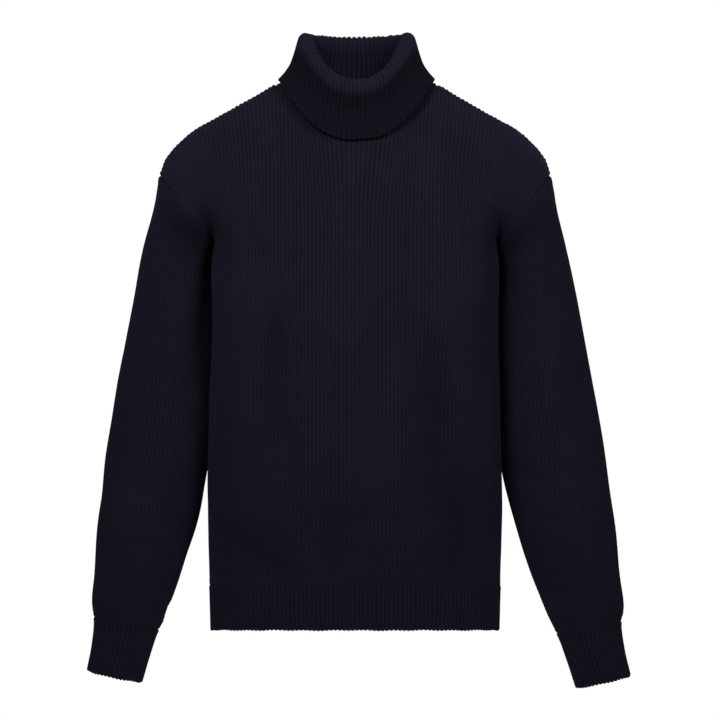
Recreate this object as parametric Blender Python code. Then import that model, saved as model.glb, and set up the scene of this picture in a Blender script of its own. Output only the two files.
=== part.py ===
"""A roll-neck sweater in rib knit, filled out as if worn, with no wearer in it.

Every piece of cloth is a wall of even thickness through sections of the garment: rings round
the torso, rings down the arms and rings round the neck. Neck, hem and cuffs are open.

Metres. +Z is up, the front faces -Y and the wearer's right side is at -X. The origin is in the
middle of the neck, level with the foot of the collar's sides, where the wearer carries it.
"""
import math
from collections import namedtuple

import bpy
import numpy as np

# ---- Driving dimensions ---------------------------------------------------------------------

WALL = 0.003                # thickness of the rib knit
SEAM_GAP = 0.0003           # between neighbouring pieces at a seam
HEM_HEIGHT = 0.057          # rib band at the bottom of the body

FRONT = -1                  # the side of a panel, as the sign of its Y
BACK = 1

HEM_Z = -0.674              # free edge of the hem band
WELT_Z = HEM_Z + HEM_HEIGHT     # where the panels meet the hem band
ARMPIT_Z = -0.184

SHOULDER_SEAM_Y = 0.006     # the seam runs just behind the ridge of the shoulder
NECK_SHARE = 0.29           # part of a panel's ribs that ends at the neckline
NECK_SPREAD = 0.85          # the nearer to 1, the more the neckline's ribs crowd to its middle

NECK_SLOPE = (0.37, 1.33)   # how far front and back lie over at the neck: in the middle, at the sides

COLLAR_X = 0.002            # the collar sits this far towards the wearer's left
COLLAR_DIP = 2.4            # how narrow the collar's dip at the front is,
SEAM_DIP_END = 0.040        # this far above its seam, where it follows the shoulders instead
COLLAR_SIDE = 0.15          # how far behind its middle the collar is widest, as a share of half its depth

# A panel above the armpits is bent from its widest ring up to its top edge. Where it leaves
# the ring it is pulled up, by so much of the way that it has to go.
RISE = 1.15
ARMPIT_RISE = 0.46          # less, at the armpit,
ARMPIT_OUT = 0.176          # where it is also pulled out, to run round the armhole,
ARMPIT_REACH = 5.0          # but the less the nearer to the middle, by this power

# Where it reaches its top edge it is pulled so much inwards and up: into the neck in the
# middle, along the neckline at the neck's sides, and over the shoulder.
Pull = namedtuple("Pull", "across inward_front up_front inward_back up_back")
PULLS = (
    Pull(0.00, 0.045, 0.115, 0.045, 0.115),
    Pull(0.15, 0.060, 0.110, 0.075, 0.095),
    Pull(0.29, 0.105, 0.085, 0.130, 0.050),
    Pull(0.45, 0.145, 0.045, 0.155, 0.028),
    Pull(0.70, 0.172, 0.020, 0.172, 0.020),
    Pull(1.00, 0.206, 0.020, 0.206, 0.020),
)

ARMHOLE_NEAR = 0.55         # from here out, a panel's rows are drawn onto the armhole seam,
ARMHOLE_NEAR_POWER = 1.6    # late rather than early,
ARMHOLE_LEAN = 0.78         # and from here out the cloth turns to face as the seam does
SEAM_LEAN = (0.30, 1.00)    # how much the seam faces down the sleeve: at the top, in the armpit
SEAM_LEAN_POWER = 6

TROUGH_FADE = 0.7           # below 1, a trough keeps its depth nearly to its ends

# ---- Sections, a row each -------------------------------------------------------------------

# Half rings of the torso, level with z. lift raises the middle of the front.
Torso = namedtuple("Torso", "z half_width front back square_front square_back lift")
TORSO = (
    Torso(-0.674, 0.1797, 0.109, 0.104, 2.50, 2.10, 0.0060),
    Torso(-0.617, 0.1812, 0.112, 0.106, 2.50, 2.10, 0.0050),
    Torso(-0.560, 0.1827, 0.117, 0.109, 2.50, 2.10, 0.0025),
    Torso(-0.500, 0.1832, 0.120, 0.108, 2.50, 2.05, 0.0),
    Torso(-0.400, 0.1803, 0.122, 0.107, 2.50, 2.05, 0.0),
    Torso(-0.300, 0.1782, 0.124, 0.112, 2.55, 2.10, 0.0),
    Torso(-0.235, 0.1784, 0.124, 0.117, 2.60, 2.15, 0.0),
    Torso(-0.200, 0.1788, 0.122, 0.119, 2.60, 2.20, 0.0),
    Torso(-0.184, 0.1790, 0.121, 0.120, 2.60, 2.20, 0.0),
)

# The ridge of one shoulder, from the neck to the top of the armhole, in the front view.
Ridge = namedtuple("Ridge", "x z")
SHOULDER = (
    Ridge(0.076, 0.0272),
    Ridge(0.097, 0.0143),
    Ridge(0.115, 0.0040),
    Ridge(0.135, -0.0069),
    Ridge(0.157, -0.0195),
    Ridge(0.180, -0.0326),
    Ridge(0.203, -0.0458),
    Ridge(0.2185, -0.0590),
    Ridge(0.2310, -0.0725),
    Ridge(0.2400, -0.0870),
    Ridge(0.2450, -0.1020),
)

# Rings down one arm. Each lies square to the front view, on a line from its outer to its
# inner point there; tuck is how far the inner side lies behind the ring's middle. Row 0 is the
# armhole, and the rows from CUFF_TOP on are the cuff.
Arm = namedtuple("Arm", "along outer_x outer_z inner_x inner_z half_depth middle_y tuck")
CUFF_TOP = 0.530
ARM = (
    Arm(0.000, 0.2450, -0.1020, 0.1790, -0.1840, 0.0800, 0.000, 0.000),
    Arm(0.014, 0.2485, -0.1180, 0.1820, -0.1960, 0.0790, 0.003, 0.010),
    Arm(0.032, 0.2525, -0.1405, 0.1800, -0.2110, 0.0780, 0.012, 0.026),
    Arm(0.072, 0.2635, -0.1870, 0.1787, -0.2430, 0.0760, 0.023, 0.027),
    Arm(0.130, 0.2770, -0.2520, 0.1780, -0.2920, 0.0730, 0.031, 0.022),
    Arm(0.207, 0.2935, -0.3335, 0.1788, -0.3620, 0.0670, 0.035, 0.013),
    Arm(0.286, 0.3075, -0.4145, 0.1832, -0.4385, 0.0600, 0.034, 0.005),
    Arm(0.356, 0.3185, -0.4845, 0.1948, -0.5065, 0.0545, 0.027, 0.000),
    Arm(0.419, 0.3255, -0.5475, 0.2110, -0.5675, 0.0505, 0.014, 0.000),
    Arm(0.477, 0.3290, -0.6065, 0.2295, -0.6230, 0.0455, 0.001, 0.000),
    Arm(0.517, 0.3305, -0.6465, 0.2440, -0.6605, 0.0405, -0.009, 0.000),
    Arm(0.530, 0.3285, -0.6590, 0.2510, -0.6740, 0.0350, -0.012, 0.000),
    Arm(0.563, 0.3310, -0.6930, 0.2620, -0.7045, 0.0320, -0.019, 0.000),
    Arm(0.599, 0.3375, -0.7265, 0.2730, -0.7410, 0.0320, -0.027, 0.000),
)

# Where each wrist hangs, off the mirrored rows: out from the body, and up.
Hang = namedtuple("Hang", "out up")
HANG_RIGHT = Hang(0.0035, 0.0035)
HANG_LEFT = Hang(0.0060, -0.0035)
HANG_POWER = 3.0            # the hang grows down the arm by this power

# Loops of the collar, from the seam at the neck up the throat, over the fold, and down the
# turned-over layer to its free edge. The first row is the neckline of front and back too.
Loop = namedtuple("Loop", "along half_width front back z_front z_side z_back")
COLLAR = (
    Loop(0.000, 0.0750, -0.0870, 0.0670, -0.0420, 0.0272, 0.0050),
    Loop(0.020, 0.0670, -0.0760, 0.0600, -0.0260, 0.0450, 0.0290),
    Loop(0.038, 0.0605, -0.0690, 0.0535, -0.0100, 0.0600, 0.0500),
    Loop(0.050, 0.0580, -0.0660, 0.0505, 0.0015, 0.0685, 0.0635),
    Loop(0.058, 0.0595, -0.0672, 0.0515, 0.0095, 0.0740, 0.0720),
    Loop(0.066, 0.0655, -0.0755, 0.0570, 0.0137, 0.0762, 0.0752),
    Loop(0.074, 0.0705, -0.0850, 0.0625, 0.0095, 0.0725, 0.0725),
    Loop(0.082, 0.0732, -0.0892, 0.0650, 0.0005, 0.0650, 0.0645),
    Loop(0.090, 0.0755, -0.0872, 0.0668, -0.0085, 0.0570, 0.0555),
    Loop(0.102, 0.0788, -0.0848, 0.0698, -0.0215, 0.0470, 0.0410),
    Loop(0.114, 0.0830, -0.0885, 0.0735, -0.0360, 0.0365, 0.0262),
    Loop(0.126, 0.0905, -0.0948, 0.0775, -0.0495, 0.0268, 0.0118),
    Loop(0.137, 0.0985, -0.1002, 0.0810, -0.0615, 0.0193, 0.0000),
)

# Soft troughs in the torso: where they start and end, how wide they are and how deep.
Trough = namedtuple("Trough", "side x_top z_top x_bottom z_bottom width depth")
TROUGHS = (
    Trough(FRONT, 0.092, -0.300, 0.124, -0.610, 0.022, 0.0045),
    Trough(FRONT, -0.098, -0.290, -0.112, -0.450, 0.022, 0.0030),
    Trough(BACK, 0.070, -0.290, 0.052, -0.560, 0.024, 0.0045),
    Trough(BACK, -0.086, -0.330, -0.066, -0.590, 0.022, 0.0040),
)

# ---- How finely the walls are faceted --------------------------------------------------------

BODY_STEPS = (WELT_Z, -0.560, -0.500, -0.440, -0.380, -0.320, -0.265, -0.228, -0.200, ARMPIT_Z)
YOKE_ROWS = 10              # from the armpit to the shoulder, and half of a sleeve's sides
NECK_COLUMNS = 14           # of a panel, along the neckline
SHOULDER_SHARES = (0.42, 0.55, 0.68, 0.80, 0.90, 0.96, 1.0)     # columns of a panel beyond it
HEM_ROWS = 2
SLEEVE_STEPS = (0.0, 0.014, 0.032, 0.055, 0.085, 0.130, 0.185, 0.240, 0.290, 0.340, 0.385, 0.430,
                0.470, 0.500, 0.519, CUFF_TOP)
CUFF_STEPS = (CUFF_TOP, 0.550, 0.575, 0.599)
RING_SAMPLES = 361          # along a curve, to measure its length
SHARP_ANGLE = math.radians(60)

# ---- Colour of the yarn ----------------------------------------------------------------------

NAVY = (0.0085, 0.0085, 0.0165, 1.0)
NAVY_ROUGHNESS = 0.92


def read(rows, column, at):
    """A column of a table, read anywhere on a smooth curve through the table's rows."""
    keys = np.array([row[0] for row in rows])
    values = np.array([getattr(row, column) for row in rows])
    slopes = np.gradient(values, keys)
    at = np.clip(at, keys[0], keys[-1])
    cell = np.clip(np.searchsorted(keys, at, side="right") - 1, 0, len(keys) - 2)
    width = keys[cell + 1] - keys[cell]
    t = (at - keys[cell]) / width
    start = values[cell] * (2 * t ** 3 - 3 * t ** 2 + 1)
    end = values[cell + 1] * (3 * t ** 2 - 2 * t ** 3)
    leave = slopes[cell] * width * (t ** 3 - 2 * t ** 2 + t)
    arrive = slopes[cell + 1] * width * (t ** 3 - t ** 2)
    return start + end + leave + arrive


def unit(vectors):
    """The same vectors, each one long."""
    return vectors / np.linalg.norm(vectors, axis=-1, keepdims=True)


def stack(x, y, z):
    """Points from three coordinates, any of which may be one number for all."""
    return np.stack(np.broadcast_arrays(x, y, z), axis=-1).astype(float)


def powered(values, power):
    """Raise to a power and keep the sign."""
    return np.sign(values) * np.abs(values) ** power


def ease(share):
    """A smooth step from 0 to 1."""
    share = np.clip(share, 0, 1)
    return share ** 2 * (3 - 2 * share)


# ---- Torso -----------------------------------------------------------------------------------

def half_ring(side, z, across):
    """Points and outward normals of half a torso ring, evenly spaced along the cloth.

    across runs from -1 to 1 and goes round anticlockwise, seen from above: from the wearer's
    right to the left on the front, and back again on the back.
    """
    half_width = read(TORSO, "half_width", z)
    depth = read(TORSO, "front" if side == FRONT else "back", z)
    lift = read(TORSO, "lift", z) if side == FRONT else 0.0
    power = 2 / read(TORSO, "square_front" if side == FRONT else "square_back", z)
    angle = np.linspace(-math.pi / 2, math.pi / 2, RING_SAMPLES)
    share = np.cos(angle) ** power
    x = -side * half_width * powered(np.sin(angle), power)
    y = side * depth * share
    length = np.concatenate([[0.0], np.cumsum(np.hypot(np.diff(x), np.diff(y)))])
    want = (across + 1) / 2 * length[-1]
    points = stack(np.interp(want, length, x), np.interp(want, length, y),
                   z + lift * np.interp(want, length, share))
    slope_x = np.interp(want, length, np.gradient(x, length))
    slope_y = np.interp(want, length, np.gradient(y, length))
    return points, unit(stack(slope_y, -slope_x, 0.0))


def neck_angle(share):
    """The angle round the neck, from the middle of front or back, for a share of its ribs."""
    return np.arcsin(NECK_SPREAD * np.clip(share, -1, 1)) / math.asin(NECK_SPREAD) * math.pi / 2


def loop_points(angle, along):
    """Points of a collar loop. The angle is 0 at the front and 90 degrees at the wearer's left."""
    front = np.cos(angle) >= 0
    free = ease(along / SEAM_DIP_END)
    rise = free * np.abs(np.sin(angle)) ** COLLAR_DIP + (1 - free) * (1 - np.abs(np.cos(angle)))
    middle = (read(COLLAR, "front", along) + read(COLLAR, "back", along)) / 2
    side_y = middle + (read(COLLAR, "back", along) - middle) * COLLAR_SIDE
    end_y = np.where(front, read(COLLAR, "front", along), read(COLLAR, "back", along))
    end_z = np.where(front, read(COLLAR, "z_front", along), read(COLLAR, "z_back", along))
    x = COLLAR_X + read(COLLAR, "half_width", along) * np.sin(angle)
    y = side_y + (end_y - side_y) * np.abs(np.cos(angle))
    z = end_z + (read(COLLAR, "z_side", along) - end_z) * rise
    return stack(x, y, z)


def neck_normals(angle):
    """Outward normals of front and back along the neckline: flattest at the shoulders."""
    middle, side = NECK_SLOPE
    return unit(stack(np.sin(angle), -np.cos(angle), middle + (side - middle) * np.sin(angle) ** 2))


def shoulder_line(share, sign):
    """Points and normals along a shoulder seam, from the neck (0) to the armhole (1)."""
    x = np.linspace(SHOULDER[0].x, SHOULDER[-1].x, RING_SAMPLES)
    heights = read(SHOULDER, "z", x)
    length = np.concatenate([[0.0], np.cumsum(np.hypot(np.diff(x), np.diff(heights)))])
    want = share * length[-1]
    fade = 1 - share
    points = stack(sign * np.interp(want, length, x) + COLLAR_X * fade,
                   SHOULDER_SEAM_Y * 4 * share * fade + neck_point_y() * fade ** 2,
                   np.interp(want, length, heights))
    slope_x = np.interp(want, length, np.gradient(x, length))
    slope_z = np.interp(want, length, np.gradient(heights, length))
    return points, unit(stack(-sign * slope_z, 0.0, slope_x))


def neck_point_y():
    """How far back the shoulder seam starts, at the side of the neck."""
    return float(loop_points(np.array([math.pi / 2]), 0.0)[0, 1])


def top_edge(side, across):
    """Points and normals of a panel's top edge: shoulder, neckline, shoulder."""
    turn = neck_angle(across / NECK_SHARE)
    angle = turn if side == FRONT else math.pi + turn
    points, normals = loop_points(angle, 0.0), neck_normals(angle)
    for sign in (-1, 1):
        beyond = np.where(-side * sign * across > NECK_SHARE)[0]
        share = (np.abs(across[beyond]) - NECK_SHARE) / (1 - NECK_SHARE)
        points[beyond], normals[beyond] = shoulder_line(share, sign)
    return points, normals


# ---- Arms ------------------------------------------------------------------------------------

def arm_ring(angle, along, sign=1):
    """Points and outward normals round an arm. The angle is 0 at its outer side, 90 in front."""
    outer = stack(read(ARM, "outer_x", along), 0.0, read(ARM, "outer_z", along))
    inner = stack(read(ARM, "inner_x", along), 0.0, read(ARM, "inner_z", along))
    half = (outer - inner) / 2
    depth = read(ARM, "half_depth", along)
    forward = np.array([0.0, -1.0, 0.0])
    centre = (outer + inner) / 2 + stack(0.0, read(ARM, "middle_y", along), 0.0)
    cosine, sine = np.cos(angle)[..., None], np.sin(angle)[..., None]
    tucked = ((1 - cosine) / 2) ** 2 * stack(0.0, read(ARM, "tuck", along), 0.0)
    points = centre + half * cosine + forward * depth * sine + tucked
    width = np.linalg.norm(half)
    normals = unit(half / width * cosine / width + forward * sine / depth)
    hang = HANG_LEFT if sign > 0 else HANG_RIGHT
    swing = (along / ARM[-1].along) ** HANG_POWER
    points[..., 0] = sign * points[..., 0] + hang.out * swing
    points[..., 2] += hang.up * swing
    normals[..., 0] *= sign
    return points, normals


def armhole(angle, sign):
    """Points and outward normals of the armhole seam, shared by the sleeve and both panels."""
    points, normals = arm_ring(angle, 0.0, sign)
    seam = ARM[0]
    down_the_sleeve = unit(stack(sign * (seam.outer_z - seam.inner_z), 0.0, seam.inner_x - seam.outer_x))
    under = (1 - np.cos(angle)) / 2
    lean = SEAM_LEAN[0] + (SEAM_LEAN[1] - SEAM_LEAN[0]) * under ** SEAM_LEAN_POWER
    return points, unit(normals + down_the_sleeve * lean[..., None])


# ---- Front and back --------------------------------------------------------------------------

def yoke(side, across, up):
    """A row of a panel above the armpit, as far up as up says, from 0 to 1."""
    base, _ = half_ring(side, ARMPIT_Z, across)
    top, _ = top_edge(side, across)
    armpit = np.abs(across) ** ARMPIT_REACH
    reach = np.linalg.norm(top - base, axis=-1)
    leave = stack(0.0, side * ARMPIT_OUT * armpit, reach * (RISE + (ARMPIT_RISE - RISE) * armpit))
    ending = "_front" if side == FRONT else "_back"
    inward, rising = (read(PULLS, column + ending, np.abs(across)) for column in ("inward", "up"))
    arrive = stack(0.0, -side * inward, rising)
    return (base * (2 * up ** 3 - 3 * up ** 2 + 1) + top * (3 * up ** 2 - 2 * up ** 3)
            + leave * (up ** 3 - 2 * up ** 2 + up) + arrive * (up ** 3 - up ** 2))


def panel_row(side, across, up):
    """A row of the yoke, with its two ends drawn onto the armhole seams."""
    row = yoke(side, across, up)
    ends = yoke(side, np.array([-1.0, 1.0]), up)
    for end, column in ((-1, 0), (1, 1)):
        sign = -side * end
        angle = math.pi * (1 - up)
        seam, _ = armhole(np.array([angle if side == FRONT else -angle]), sign)
        near = np.clip((end * across - ARMHOLE_NEAR) / (1 - ARMHOLE_NEAR), 0, 1)
        row += (seam[0] - ends[column]) * near[:, None] ** ARMHOLE_NEAR_POWER
    return row


def trough_depth(side, points):
    """How far the soft troughs press each point in."""
    depth = np.zeros(points.shape[:-1])
    for fold in TROUGHS:
        if fold.side != side:
            continue
        run = (fold.z_top - points[..., 2]) / (fold.z_top - fold.z_bottom)
        fade = np.sin(np.pi * np.clip(run, 0, 1)) ** TROUGH_FADE
        middle = fold.x_top + (fold.x_bottom - fold.x_top) * run
        depth += fold.depth * fade * np.exp(-((points[..., 0] - middle) / fold.width) ** 2)
    return depth


def panel(side, across):
    """Points and normals of the front or the back, from the hem band to shoulders and neck."""
    rows = [half_ring(side, z, across)[0] for z in BODY_STEPS]
    rows += [panel_row(side, across, up) for up in np.arange(1, YOKE_ROWS) / YOKE_ROWS]
    top, top_normals = top_edge(side, across)
    points = np.array(rows + [top])
    normals = grid_normals(points)
    points -= normals * trough_depth(side, points)[..., None]
    normals = grid_normals(points)
    normals[0] = half_ring(side, WELT_Z, across)[1]
    normals[-1] = top_normals
    armpit = len(BODY_STEPS) - 1
    for column, end in ((0, -1), (-1, 1)):
        sign = -side * end
        normals[:armpit, column] = (sign, 0.0, 0.0)
        angle = np.linspace(math.pi, 0.0, YOKE_ROWS + 1)
        seam = armhole(angle if side == FRONT else -angle, sign)[1][:, None]
        lean = ease((end * across - ARMHOLE_LEAN) / (1 - ARMHOLE_LEAN))[:, None]
        normals[armpit:] = unit(normals[armpit:] * (1 - lean) + seam * lean)
    return points, normals


def hem_band(side, across):
    """Points and normals of one half of the hem band."""
    rows = [half_ring(side, z, across) for z in np.linspace(HEM_Z, WELT_Z, HEM_ROWS + 1)]
    return np.array([row[0] for row in rows]), np.array([row[1] for row in rows])


# ---- Sleeves, cuffs and collar ---------------------------------------------------------------

def arm_tube(steps, sign):
    """Points and normals of a tube along an arm, a ring at each step."""
    angle = np.linspace(0, 2 * math.pi, 2 * YOKE_ROWS, endpoint=False)
    rings = [arm_ring(angle, along, sign) for along in steps]
    points = np.array([ring[0] for ring in rings])
    normals = grid_normals(points, closed=True) * sign
    if steps[0] == 0.0:
        points[0], normals[0] = armhole(angle, sign)
    for row in (0, -1):
        if steps[row] >= CUFF_TOP:
            normals[row] = rings[row][1]
    if sign < 0:
        points, normals = points[:, ::-1], normals[:, ::-1]
    return points, normals


def collar(across):
    """Points and normals of the collar. Its outward side is the one that shows."""
    front = neck_angle(across / NECK_SHARE)
    angle = -np.concatenate([front, math.pi + front[1:-1]])
    steps = [row.along for row in COLLAR]
    points = np.array([loop_points(angle, along) for along in steps])
    normals = grid_normals(points, closed=True)
    normals[0] = -neck_normals(angle)
    return points, normals


# ---- Solids ----------------------------------------------------------------------------------

def grid_normals(points, closed=False):
    """Normals of a grid, on the side from which its columns run right and its rows run up."""
    if closed:
        run = np.roll(points, -1, axis=1) - np.roll(points, 1, axis=1)
    else:
        run = np.gradient(points, axis=1)
    return unit(np.cross(run, np.gradient(points, axis=0)))


def draw_back(points, normals, edges, closed=False):
    """Move the edges of a grid half a seam gap into the piece, square to the seam."""
    if closed:
        across = np.roll(points, -1, axis=1) - np.roll(points, 1, axis=1)
    else:
        across = np.gradient(points, axis=1)
    up = np.cross(normals, across)
    right = np.cross(np.gradient(points, axis=0), normals)
    points = points.copy()
    half = SEAM_GAP / 2
    if "bottom" in edges:
        points[0] += unit(up[0]) * half
    if "top" in edges:
        points[-1] -= unit(up[-1]) * half
    if "sides" in edges:
        points[:, 0] += unit(right[:, 0]) * half
        points[:, -1] -= unit(right[:, -1]) * half
    return points


def yarn_material(name):
    """Plain dark navy knit."""
    material = bpy.data.materials.new(name)
    material.use_nodes = True
    shader = material.node_tree.nodes["Principled BSDF"]
    shader.inputs["Base Color"].default_value = NAVY
    shader.inputs["Roughness"].default_value = NAVY_ROUGHNESS
    shader.inputs["Metallic"].default_value = 0.0
    material.diffuse_color = NAVY
    return material


def cloth(name, points, normals, closed=False):
    """A wall of cloth, half its thickness to each side of a grid of points."""
    rows, columns = points.shape[:2]
    flat = points.reshape(-1, 3)
    outer = (points + normals * WALL / 2).reshape(-1, 3)
    inner = (points - normals * WALL / 2).reshape(-1, 3)
    count = rows * columns
    spans = columns if closed else columns - 1
    faces = []
    for row in range(rows - 1):
        for column in range(spans):
            beside = (column + 1) % columns
            a, b = row * columns + column, row * columns + beside
            c, d = b + columns, a + columns
            if np.linalg.norm(flat[a] - flat[c]) < np.linalg.norm(flat[b] - flat[d]):
                halves = ((a, b, c), (a, c, d))
            else:
                halves = ((a, b, d), (b, c, d))
            faces += list(halves)
            faces += [tuple(count + corner for corner in reversed(half)) for half in halves]
    rim = [(column, (column + 1) % columns) for column in range(spans)]
    last = (rows - 1) * columns
    rim += [(last + b, last + a) for a, b in rim]
    if not closed:
        steps = [row * columns for row in range(rows)]
        rim += [(above, below) for below, above in zip(steps, steps[1:])]
        rim += [(below + columns - 1, above + columns - 1) for below, above in zip(steps, steps[1:])]
    faces += [(b, a, count + a, count + b) for a, b in rim]
    mesh = bpy.data.meshes.new(name)
    mesh.from_pydata(np.vstack([outer, inner]).tolist(), [], faces)
    mesh.materials.append(yarn_material(name + "_knit"))
    mesh.shade_smooth()
    mesh.set_sharp_from_angle(angle=SHARP_ANGLE)
    piece = bpy.data.objects.new(name, mesh)
    bpy.context.scene.collection.objects.link(piece)
    return piece


def clear_scene():
    """Start from nothing."""
    for item in list(bpy.data.objects):
        bpy.data.objects.remove(item, do_unlink=True)


def build():
    """Make every piece of the sweater."""
    clear_scene()
    neck = np.linspace(-NECK_SHARE, NECK_SHARE, NECK_COLUMNS + 1)
    shoulder = np.array(SHOULDER_SHARES)
    across = np.concatenate([-shoulder[::-1], neck, shoulder])

    for side, ending in ((FRONT, "front"), (BACK, "back")):
        points, normals = panel(side, across)
        cloth(ending, draw_back(points, normals, ("bottom", "top", "sides")), normals)
        points, normals = hem_band(side, across)
        cloth("hem_" + ending, draw_back(points, normals, ("top", "sides")), normals)

    for sign, ending in ((-1, "r"), (1, "l")):
        points, normals = arm_tube(SLEEVE_STEPS, sign)
        points = draw_back(points, normals, ("bottom", "top"), closed=True)
        cloth("sleeve_" + ending, points, normals, closed=True)
        points, normals = arm_tube(CUFF_STEPS, sign)
        points = draw_back(points, normals, ("bottom",), closed=True)
        cloth("cuff_" + ending, points, normals, closed=True)

    points, normals = collar(neck)
    cloth("collar", draw_back(points, normals, ("bottom",), closed=True), normals, closed=True)


build()
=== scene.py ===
"""Looks of a dark navy rib-knit roll-neck sweater, filled out as if on a body, with no wearer in it.

Each piece is a thin closed shell of cloth on the form of its CAD solid, worked out from the
same tables. Its ribs, rolled seams, scalloped edges and creases are real relief, and the
stitches along the ribs are bump.

Metres. +Z is up, the front faces -Y and the wearer's right side is at -X.
"""

import math
from collections import namedtuple

import bpy
import numpy as np
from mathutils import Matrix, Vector


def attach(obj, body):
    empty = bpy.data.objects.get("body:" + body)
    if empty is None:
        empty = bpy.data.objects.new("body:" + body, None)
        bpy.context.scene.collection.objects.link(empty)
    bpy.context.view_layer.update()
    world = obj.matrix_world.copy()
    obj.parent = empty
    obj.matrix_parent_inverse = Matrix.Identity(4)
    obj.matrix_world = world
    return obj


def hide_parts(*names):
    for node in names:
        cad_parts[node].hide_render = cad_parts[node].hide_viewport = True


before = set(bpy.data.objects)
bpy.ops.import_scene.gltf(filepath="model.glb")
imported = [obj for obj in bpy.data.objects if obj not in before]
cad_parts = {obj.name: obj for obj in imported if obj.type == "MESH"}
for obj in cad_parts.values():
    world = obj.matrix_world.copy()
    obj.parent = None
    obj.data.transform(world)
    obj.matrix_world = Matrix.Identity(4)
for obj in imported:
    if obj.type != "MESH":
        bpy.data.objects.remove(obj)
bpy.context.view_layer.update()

# ---- The garment's driving dimensions, as in the CAD ----------------------------------------

WALL = 0.003                # thickness of the rib knit
SEAM_GAP = 0.0001           # between neighbouring pieces at a seam, whose edges roll in
HEM_HEIGHT = 0.057          # rib band at the bottom of the body

FRONT = -1                  # the side of a panel, as the sign of its Y
BACK = 1

HEM_Z = -0.674              # free edge of the hem band
WELT_Z = HEM_Z + HEM_HEIGHT     # where the panels meet the hem band
ARMPIT_Z = -0.184

SHOULDER_SEAM_Y = 0.006     # the seam runs just behind the ridge of the shoulder
NECK_SHARE = 0.29           # part of a panel's ribs that ends at the neckline
NECK_SPREAD = 0.85          # the nearer to 1, the more the neckline's ribs crowd to its middle
NECK_SLOPE = (0.37, 1.33)   # how far front and back lie over at the neck: in the middle, at the sides

COLLAR_X = 0.002            # the collar sits this far towards the wearer's left
COLLAR_DIP = 2.4            # how narrow the collar's dip at the front is,
SEAM_DIP_END = 0.040        # this far above its seam, where it follows the shoulders instead
COLLAR_SIDE = 0.15          # how far behind its middle the collar is widest, as a share of half its depth

RISE = 1.15                 # pull of the yoke straight up from the armpit's ring, as a share of its way
ARMPIT_RISE = 0.46          # the same at the armpit,
ARMPIT_OUT = 0.176          # where the cloth is also pulled out, to run round the armhole
ARMPIT_REACH = 5.0

# Where a panel reaches its top edge it is pulled so much inwards and up: into the neck in the
# middle, along the neckline at the neck's sides, and over the shoulder.
Pull = namedtuple("Pull", "across inward_front up_front inward_back up_back")
PULLS = (
    Pull(0.00, 0.045, 0.115, 0.045, 0.115),
    Pull(0.15, 0.060, 0.110, 0.075, 0.095),
    Pull(0.29, 0.105, 0.085, 0.130, 0.050),
    Pull(0.45, 0.145, 0.045, 0.155, 0.028),
    Pull(0.70, 0.172, 0.020, 0.172, 0.020),
    Pull(1.00, 0.206, 0.020, 0.206, 0.020),
)
CORNER_SOFT = 0.075         # the corners beside the neck fade out over this share of a panel's ribs,
CORNER_START = 0.45         # from this far down the yoke
CORNER_STEPS = 17

ARMHOLE_NEAR = 0.55         # from here out, a panel's rows are drawn onto the armhole seam,
ARMHOLE_NEAR_POWER = 1.6    # late rather than early,
ARMHOLE_LEAN = 0.78         # and from here out the cloth turns to face as the seam does
SEAM_LEAN = (0.30, 1.00)    # how much the seam faces down the sleeve: at the top, in the armpit
SEAM_LEAN_POWER = 6

Torso = namedtuple("Torso", "z half_width front back square_front square_back lift")
TORSO = (
    Torso(-0.674, 0.1797, 0.109, 0.104, 2.50, 2.10, 0.0060),
    Torso(-0.617, 0.1812, 0.112, 0.106, 2.50, 2.10, 0.0050),
    Torso(-0.560, 0.1827, 0.117, 0.109, 2.50, 2.10, 0.0025),
    Torso(-0.500, 0.1832, 0.120, 0.108, 2.50, 2.05, 0.0),
    Torso(-0.400, 0.1803, 0.122, 0.107, 2.50, 2.05, 0.0),
    Torso(-0.300, 0.1782, 0.124, 0.112, 2.55, 2.10, 0.0),
    Torso(-0.235, 0.1784, 0.124, 0.117, 2.60, 2.15, 0.0),
    Torso(-0.200, 0.1788, 0.122, 0.119, 2.60, 2.20, 0.0),
    Torso(-0.184, 0.1790, 0.121, 0.120, 2.60, 2.20, 0.0),
)

Ridge = namedtuple("Ridge", "x z")
SHOULDER = (
    Ridge(0.076, 0.0272),
    Ridge(0.097, 0.0143),
    Ridge(0.115, 0.0040),
    Ridge(0.135, -0.0069),
    Ridge(0.157, -0.0195),
    Ridge(0.180, -0.0326),
    Ridge(0.203, -0.0458),
    Ridge(0.2185, -0.0590),
    Ridge(0.2310, -0.0725),
    Ridge(0.2400, -0.0870),
    Ridge(0.2450, -0.1020),
)

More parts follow.
